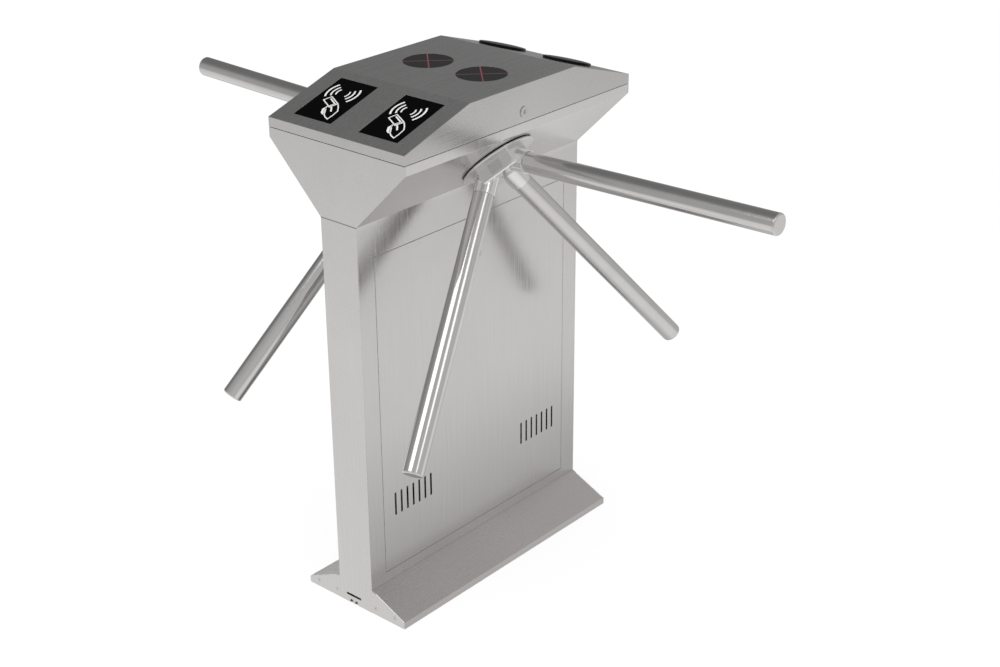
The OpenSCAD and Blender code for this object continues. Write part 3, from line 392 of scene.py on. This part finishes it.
def mesh_object(name, bm, body, mat):
    bmesh.ops.recalc_face_normals(bm, faces=bm.faces)
    data = bpy.data.meshes.new(name)
    bm.to_mesh(data)
    bm.free()
    obj = bpy.data.objects.new(name, data)
    bpy.context.scene.collection.objects.link(obj)
    data.materials.append(mat)
    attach(obj, body)


def place_from(x_way, y_way, z_way, origin):
    """A matrix with these three directions and this origin."""
    m = Matrix.Identity(4)
    for i, column in enumerate((x_way, y_way, z_way, origin)):
        m.col[i][:3] = column
    return m


def join_loops(bm, pairs):
    """Quads between pairs of closed loops of corners."""
    for a, b in pairs:
        n = len(a)
        for i in range(n):
            bm.faces.new((a[i], a[(i + 1) % n], b[(i + 1) % n], b[i]))


def ribbon(bm, place, points, width, thick, closed=False):
    """A thin closed strip of even width along points in a plane."""
    n = len(points)
    pts = [Vector((p[0], p[1], 0)) for p in points]
    # a corner is mitred, and a very sharp one only in part
    least_cosine = 0.45
    rings = []
    for i, p in enumerate(pts):
        arriving = (p - pts[i - 1]).normalized() if closed or i else None
        leaving = (pts[(i + 1) % n] - p).normalized() if closed or i < n - 1 else arriving
        if arriving is None:
            arriving = leaving
        bisect = (arriving + leaving).normalized()
        out = Vector((-bisect.y, bisect.x, 0))
        stretch = 1.0 / max(least_cosine, out.dot(Vector((-leaving.y, leaving.x, 0))))
        a = p + out * width / 2 * stretch
        b = p - out * width / 2 * stretch
        rings.append([bm.verts.new(place @ Vector((q.x, q.y, z)))
                      for q, z in ((a, 0), (b, 0), (b, thick), (a, thick))])
    join_loops(bm, zip(rings, rings[1:]))
    if closed:
        join_loops(bm, [(rings[-1], rings[0])])
    else:
        bm.faces.new(rings[0][::-1])
        bm.faces.new(rings[-1])


def plate(bm, place, points, thick, chamfer=0.0):
    """A thin closed plate with an outline in a plane and, if asked, a chamfered top edge."""
    n = len(points)
    centre = Vector((sum(p[0] for p in points) / n, sum(p[1] for p in points) / n, 0))
    levels = ((0, 0), (thick - chamfer, 0), (thick, chamfer)) if chamfer else ((0, 0), (thick, 0))
    loops = []
    for z, inset in levels:
        loop = []
        for p in points:
            d = Vector((p[0], p[1], 0)) - centre
            q = centre + d * (1 - inset / d.length)
            loop.append(bm.verts.new(place @ Vector((q.x, q.y, z))))
        loops.append(loop)
    join_loops(bm, zip(loops, loops[1:]))
    bm.faces.new(loops[0][::-1])
    bm.faces.new(loops[-1])


def arc(cx, cy, r, a0, a1, steps=14):
    out = []
    for i in range(steps + 1):
        a = math.radians(a0 + (a1 - a0) * i / steps)
        out.append((cx + r * math.cos(a), cy + r * math.sin(a)))
    return out


def rounded(half_w, half_h, r):
    """The outline of a rectangle with round corners."""
    out = []
    for i, (sx, sy) in enumerate(((1, 1), (-1, 1), (-1, -1), (1, -1))):
        out += arc(sx * (half_w - r), sy * (half_h - r), r, 90 * i, 90 * i + 90, 5)
    return out


# Reader signs

# the sign's lines and their widths in millimetres, from the middle of the window
WAVE_CENTRE = (-4.0, 22.0)
WAVE_HALF_ANGLE = 37
WAVES = ((13.0, 2.8), (22.0, 3.2), (32.0, 3.6))
CARD = ((-23.5, -7.5), (-16.0, 6.0), (12.5, -8.0), (4.0, -21.5))
CARD_WIDTH = 2.1
STRIPE = ((-13.5, 0.5), (8.0, -10.5))
STRIPE_WIDTH = 2.6
HAND = ((6.5, -10.5), (13.0, -8.5), (22.0, -17.5), (28.5, -26.0), (29.5, -40.0), (28.5, -52.0),
        (19.0, -48.0), (8.0, -40.0), (3.0, -33.0), (-1.5, -22.0))
HAND_WIDTH = 2.2
THUMB = ((2.5, -19.0), (9.5, -21.5), (17.5, -31.5))
THUMB_WIDTH = 3.0
PALM = ((-2.0, -22.5), (-4.5, -30.5), (1.5, -40.5), (8.5, -44.5), (12.0, -41.0), (6.0, -32.0))
SIGN_THICK = 0.25 * MM
SIGN_GAP = 0.05 * MM


def slope_place(x):
    """The middle of a reader window in the front slope: X across, Y up the slope, Z out of it."""
    low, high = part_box("lid")
    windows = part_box("reader_windows")
    angle = math.atan2(SLOPE_FALL, SLOPE_RUN)
    rise = Vector((0, math.cos(angle), math.sin(angle)))
    out = Vector((0, -math.sin(angle), math.cos(angle)))
    middle = (windows[0] + windows[1]) / 2
    along = (middle.y - low.y) / math.cos(angle)
    # the top face of the window lies in the slope's own plane, and the sign a hair above it
    origin = Vector((x, low.y, high.z - SLOPE_FALL)) + rise * along + out * SIGN_GAP
    return place_from(X_AXIS, rise, out, origin)


def reader_sign(side):
    """The common sign for a contactless reader: a hand holding a card under radio waves."""
    place = slope_place(SIDES[side] * READER_X)
    bm = bmesh.new()

    def mm(points):
        return [(px * MM, py * MM) for px, py in points]

    for r, width in WAVES:
        for a in (0, 180):
            wave = arc(*WAVE_CENTRE, r, a - WAVE_HALF_ANGLE, a + WAVE_HALF_ANGLE)
            ribbon(bm, place, mm(wave), width * MM, SIGN_THICK)
    ribbon(bm, place, mm(CARD), CARD_WIDTH * MM, SIGN_THICK, closed=True)
    ribbon(bm, place, mm(STRIPE), STRIPE_WIDTH * MM, SIGN_THICK)
    ribbon(bm, place, mm(HAND), HAND_WIDTH * MM, SIGN_THICK, closed=True)
    ribbon(bm, place, mm(THUMB), THUMB_WIDTH * MM, SIGN_THICK)
    plate(bm, place, mm(PALM), SIGN_THICK)
    mesh_object(side + "_reader_sign", bm, "lid", MATS["sign_white"])


# Hub plates and flange lips

def spin_place(side):
    """A spin axis where it meets the slanted panel, with Z pointing out of the panel."""
    s = SIDES[side]
    return place_from((-s * DIAGONAL, 0, -DIAGONAL), (0, s, 0), (s * DIAGONAL, 0, -DIAGONAL),
                      joints[side + "_spin"]["pos_m"])


def hub_plates(side):
    """Satin plates set on the three flats of a hub."""
    outline = rounded(12.5 * MM, 9.5 * MM, 1.5 * MM)
    thick = 0.4 * MM
    chamfer = 0.1 * MM
    face = place_from(Y_AXIS, Z_AXIS, X_AXIS, (HUB_FLAT, 0, HUB_MIDDLE))
    bm = bmesh.new()
    for i in range(3):
        turn = Matrix.Rotation(math.radians(120 * i), 4, "Z")
        plate(bm, spin_place(side) @ turn @ face, outline, thick, chamfer)
    mesh_object(side + "_hub_plates", bm, side + "_tripod", MATS["patch_satin"])


def flange_lip(side):
    """A thin lip under a flange, clear of the slanted panel."""
    inner = 48 * MM
    outer = 72.2 * MM
    low = 1.35 * MM
    high = 2.45 * MM
    chamfer = 0.5 * MM
    steps = 48
    profile = ((inner, low), (outer - chamfer, low), (outer, low + chamfer), (outer, high), (inner, high))
    place = spin_place(side)
    bm = bmesh.new()
    loops = []
    for r, z in profile:
        loop = []
        for i in range(steps):
            a = math.radians(360 / steps * i)
            loop.append(bm.verts.new(place @ Vector((r * math.cos(a), r * math.sin(a), z))))
        loops.append(loop)
    join_loops(bm, zip(loops, loops[1:] + loops[:1]))
    mesh_object(side + "_flange_lip", bm, side + "_tripod", MATS["flange_steel"])


# Painted highlights along the skirt ends

def skirt_edge_highlight(side, end):
    """A fine pale strip along the sloping edge of one skirt end, painted light as a highlight."""
    width = 1.8 * MM
    thick = 0.25 * MM
    # how far its middle lies inside the end face, and its ends from the slope's top and foot
    inset = 1.1 * MM
    from_top = 10 * MM
    from_foot = 1 * MM
    low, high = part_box(side + "_skirt")
    s = SIDES[side]
    outer, inner = (high.x, low.x) if s > 0 else (low.x, high.x)
    end_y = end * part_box("skirt_end_caps")[1].y
    top = Vector((inner, end_y, high.z))
    foot = Vector((outer, end_y, SKIRT_LIP))
    run = (foot - top).normalized()
    out = Vector((s * abs(run.z), 0, abs(run.x)))
    place = place_from(run, out.cross(run), out, top - Vector((0, end * inset, 0)))
    bm = bmesh.new()
    ribbon(bm, place, [(from_top, 0), ((foot - top).length - from_foot, 0)], width, thick)
    name = f"{side}_{'front' if end < 0 else 'rear'}_skirt_edge_highlight"
    mesh_object(name, bm, "cabinet", MATS["ground_edge"])


for make in (reader_sign, hub_plates, flange_lip):
    for side in SIDES:
        make(side)
for side in SIDES:
    for end in (-1, 1):
        skirt_edge_highlight(side, end)


# Camera

EYE = Vector((2.0233, -2.2111, 1.8580))
AIM = Vector((-0.59413, 0.68408, -0.42313))
ROLL = math.radians(-0.364)
LENS = 62.726
SENSOR = 36.0


def camera():
    """The photo's camera, as fitted to the cabinet's corners."""
    forward = AIM.normalized()
    level = forward.cross(Vector(Z_AXIS)).normalized()
    upright = level.cross(forward)
    right = level * math.cos(ROLL) + upright * math.sin(ROLL)
    up = upright * math.cos(ROLL) - level * math.sin(ROLL)
    data = bpy.data.cameras.new("camera")
    data.lens = LENS
    data.sensor_width = SENSOR
    data.clip_end = 200.0
    cam = bpy.data.objects.new("camera", data)
    bpy.context.scene.collection.objects.link(cam)
    cam.matrix_world = place_from(right, up, -forward, EYE)
    bpy.context.scene.camera = cam


camera()


# Floor

def floor_glow(tree, place, corner):
    """How bright the floor is in reflections, by the place on it."""
    distance = vector_node(tree, "LENGTH", place).outputs["Value"]
    unit = vector_node(tree, "NORMALIZE", place).outputs["Vector"]
    # it fades with distance, and most of all behind the object
    sector = spread(tree, facing(tree, unit, BEHIND), 0.0, 1.0, 0.72, 0.92)
    sector = combine(tree, "MULTIPLY", sector, spread(tree, distance, 0.0, 0.50, 0.7, 1.7))
    strength = spread(tree, distance, 0.97, 0.58, 1.4, 7.0)
    strength = combine(tree, "MULTIPLY", strength, combine(tree, "SUBTRACT", 1.0, sector))
    # close to the object it lies in its shade, deepest on the side away from the key light
    right = spread(tree, facing(tree, place, X_AXIS), 0.36, 0.0, corner.x, corner.x + 0.42)
    left = spread(tree, facing(tree, place, (-1, 0, 0)), 0.74, 0.0, corner.x + 0.15, corner.x + 0.45)
    onward = facing(tree, place, Y_AXIS)
    span = combine(tree, "MULTIPLY", beyond(tree, onward, -corner.y),
                   spread(tree, onward, 1.0, 0.0, corner.y + 0.3, corner.y + 0.8))
    shadow = combine(tree, "MULTIPLY", combine(tree, "MINIMUM", right, left), span)
    return combine(tree, "MULTIPLY", strength, combine(tree, "SUBTRACT", 1.0, shadow))


def floor_material():
    """White to the camera, darker in reflections, and plain under the cabinet."""
    mat = bpy.data.materials.new("floor_white")
    mat.use_nodes = True
    tree = mat.node_tree
    tree.nodes.clear()
    white = (1, 1, 1, 1)
    out = tree.nodes.new("ShaderNodeOutputMaterial")
    plain = tree.nodes.new("ShaderNodeBsdfDiffuse")
    plain.inputs["Color"].default_value = (0.85, 0.85, 0.85, 1)
    shaded = tree.nodes.new("ShaderNodeBsdfDiffuse")
    shaded.inputs["Color"].default_value = white
    glow = tree.nodes.new("ShaderNodeEmission")
    glow.inputs["Color"].default_value = white
    glow.inputs["Strength"].default_value = 1.06
    shown = mix_shader(tree, 0.22, glow.outputs[0], shaded.outputs[0])
    place = tree.nodes.new("ShaderNodeNewGeometry").outputs["Position"]
    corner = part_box("right_skirt")[1]
    far = tree.nodes.new("ShaderNodeEmission")
    far.inputs["Color"].default_value = white
    tree.links.new(floor_glow(tree, place, corner), far.inputs["Strength"])
    across = combine(tree, "ABSOLUTE", facing(tree, place, X_AXIS))
    along = combine(tree, "ABSOLUTE", facing(tree, place, Y_AXIS))
    outside = combine(tree, "MAXIMUM", beyond(tree, across, corner.x), beyond(tree, along, corner.y))
    path = tree.nodes.new("ShaderNodeLightPath").outputs
    clear = combine(tree, "MAXIMUM", path["Is Camera Ray"], path["Is Glossy Ray"])
    clear = combine(tree, "MAXIMUM", clear, path["Is Transmission Ray"])
    seen = mix_shader(tree, path["Is Glossy Ray"], shown, far.outputs[0])
    last = mix_shader(tree, combine(tree, "MULTIPLY", clear, outside), plain.outputs[0], seen)
    tree.links.new(last, out.inputs["Surface"])
    return mat


def floor():
    half = 14.0
    steps = 8
    drop = 0.2 * MM
    bm = bmesh.new()
    ticks = [half * (2 * i / steps - 1) for i in range(steps + 1)]
    grid = [[bm.verts.new((x, y, 0)) for y in ticks] for x in ticks]
    for i in range(steps):
        for j in range(steps):
            bm.faces.new((grid[i][j], grid[i + 1][j], grid[i + 1][j + 1], grid[i][j + 1]))
    data = bpy.data.meshes.new("floor")
    bm.to_mesh(data)
    bm.free()
    obj = bpy.data.objects.new("floor", data)
    bpy.context.scene.collection.objects.link(obj)
    obj.location.z = -drop
    data.materials.append(floor_material())


floor()


# World and lamps

# brightness of the studio in reflections, from the near right below to the far left above
STUDIO_WAY = (-0.791, 0.212, 0.574)
STUDIO_SHARES = ((0.0, 0.68), (0.30, 0.66), (0.5, 0.60), (0.65, 0.53), (0.80, 0.50), (0.88, 0.40),
                 (0.915, 0.27), (0.96, 0.235), (1.0, 0.21))


def world():
    """White to the camera; in reflections a studio that is darkest high up on the far left."""
    w = bpy.data.worlds.new("studio")
    w.use_nodes = True
    bpy.context.scene.world = w
    tree = w.node_tree
    view = tree.nodes.new("ShaderNodeTexCoord").outputs["Generated"]
    ramp = tree.nodes.new("ShaderNodeValToRGB")
    stops = ramp.color_ramp.elements
    while len(stops) < len(STUDIO_SHARES):
        stops.new(0.5)
    for stop, (at, v) in zip(stops, STUDIO_SHARES):
        stop.position = at
        stop.color = (v, v, v, 1)
    tree.links.new(spread(tree, facing(tree, view, STUDIO_WAY), 0.0, 1.0, -1.0, 1.0), ramp.inputs["Fac"])
    dark = spread(tree, facing(tree, view, BEHIND), 0.0, 0.3, 0.80, 0.95)
    studio = mix_colour(tree, dark, ramp.outputs["Color"], (0.05, 0.05, 0.05))
    path = tree.nodes.new("ShaderNodeLightPath").outputs
    seen = mix_colour(tree, path["Is Glossy Ray"], (0.80, 0.80, 0.80), studio)
    clear = combine(tree, "MAXIMUM", path["Is Camera Ray"], path["Is Transmission Ray"])
    shown = mix_colour(tree, clear, seen, (1.0, 1.0, 1.0))
    tree.links.new(shown, tree.nodes["Background"].inputs["Color"])


world()


def lamp(name, place, aim, size, watts, gloss=True):
    data = bpy.data.lights.new(name, "AREA")
    data.shape = "RECTANGLE"
    data.size, data.size_y = size
    data.energy = watts
    obj = bpy.data.objects.new(name, data)
    bpy.context.scene.collection.objects.link(obj)
    obj.location = place
    obj.rotation_mode = "QUATERNION"
    obj.rotation_quaternion = (Vector(aim) - Vector(place)).to_track_quat("-Z", "Y")
    obj.visible_glossy = gloss
    obj.visible_camera = False


NEAR_HEAD = (0.15, -0.2, 0.6)
lamp("soft_top", (0.6, -1.2, 3.6), (0, 0, 0.5), (2.6, 2.6), 14, gloss=False)
lamp("key", (-0.1, -2.65, 3.75), NEAR_HEAD, (2.6, 1.7), 24)
lamp("side", (3.3, -0.3, 3.0), NEAR_HEAD, (1.1, 1.5), 6.5)

scene = bpy.context.scene
scene.view_settings.view_transform = "Standard"
